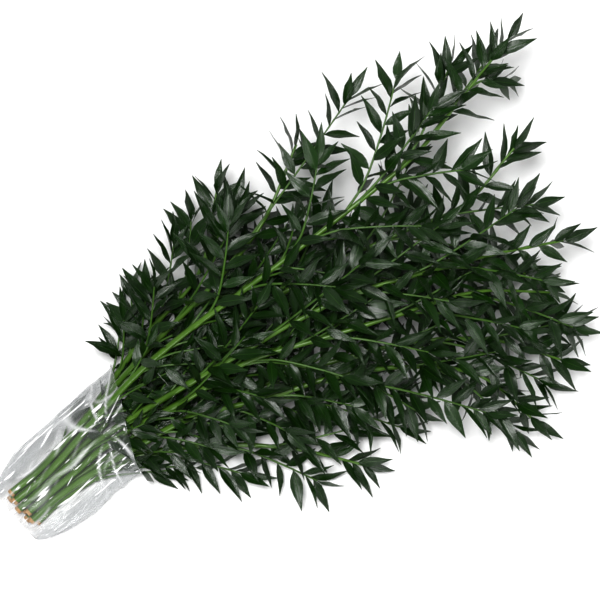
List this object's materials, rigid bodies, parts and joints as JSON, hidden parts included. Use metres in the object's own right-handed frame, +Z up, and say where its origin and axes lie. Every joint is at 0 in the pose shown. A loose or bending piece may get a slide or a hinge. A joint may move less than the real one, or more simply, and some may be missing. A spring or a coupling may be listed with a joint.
{
  "type": "bunch of fresh leafy ruscus stems in a clear film sleeve",
  "caption": "Fan of fresh green ruscus stems lying flat, pointed glossy leaves on arching twigs, cut ends together in a clear film sleeve.",
  "frame": {"origin": "under the middle of the bunch, on the surface that it lies on", "axes": "+X along the bunch from the cut ends to the leafy tips, +Z up from the surface"},
  "size_m": [0.8199, 0.5086, 0.158],
  "materials": {
    "leaf_green": "glossy dark green leaves on lighter green canes",
    "clear_film": "clear crinkled film"
  },
  "bodies": {
    "root": {"leafy_stem_upper_edge": "leaf_green", "leafy_stem_upper_front": "leaf_green", "leafy_stem_long_cane": "leaf_green", "leafy_stem_back_rise": "leaf_green", "leafy_stem_middle_low": "leaf_green", "leafy_stem_middle_front": "leaf_green", "leafy_stem_right_reach": "leaf_green", "leafy_stem_lower_middle": "leaf_green", "leafy_stem_lower_front": "leaf_green", "leafy_stem_lower_edge": "leaf_green", "film_sleeve": "clear_film"}
  },
  "joints": []
}
